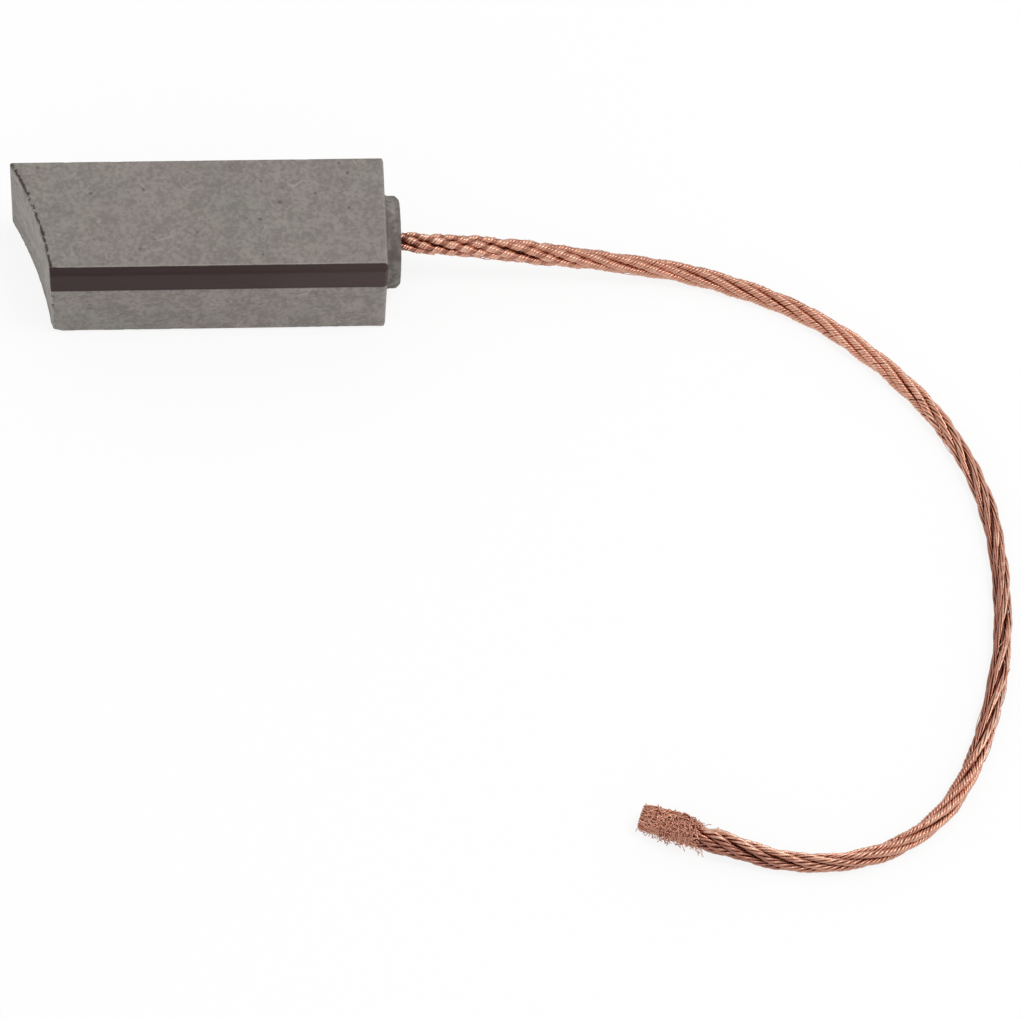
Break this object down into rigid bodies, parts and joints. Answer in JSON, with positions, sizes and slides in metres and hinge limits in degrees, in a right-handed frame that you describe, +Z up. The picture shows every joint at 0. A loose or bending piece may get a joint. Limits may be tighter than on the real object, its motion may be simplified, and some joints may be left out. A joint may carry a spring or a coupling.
{
  "type": "carbon brush",
  "caption": "Worn metal-graphite block with a concave slanted contact face, a dark strip along its upper edge, a round rear boss and a bare stranded copper wire with a frayed end.",
  "frame": {"origin": "under the middle of the block with its boss, on the surface that the block lies on", "axes": "+X along the brush from the worn contact face to the wire, +Y from the side with the strip to the far side, +Z up"},
  "size_m": [0.0577, 0.0449, 0.0063],
  "materials": {
    "metal_graphite": "ground, matt, with a faint metal sheen",
    "dark_strip": "smooth, dull",
    "rammed_powder": "rough, matt",
    "bare_copper": "bare bright copper, drawn"
  },
  "bodies": {
    "root": {"carbon_block": "metal_graphite", "insulating_strip": "dark_strip", "tamping_plug": "rammed_powder", "shunt_wire": "bare_copper"}
  },
  "joints": []
}
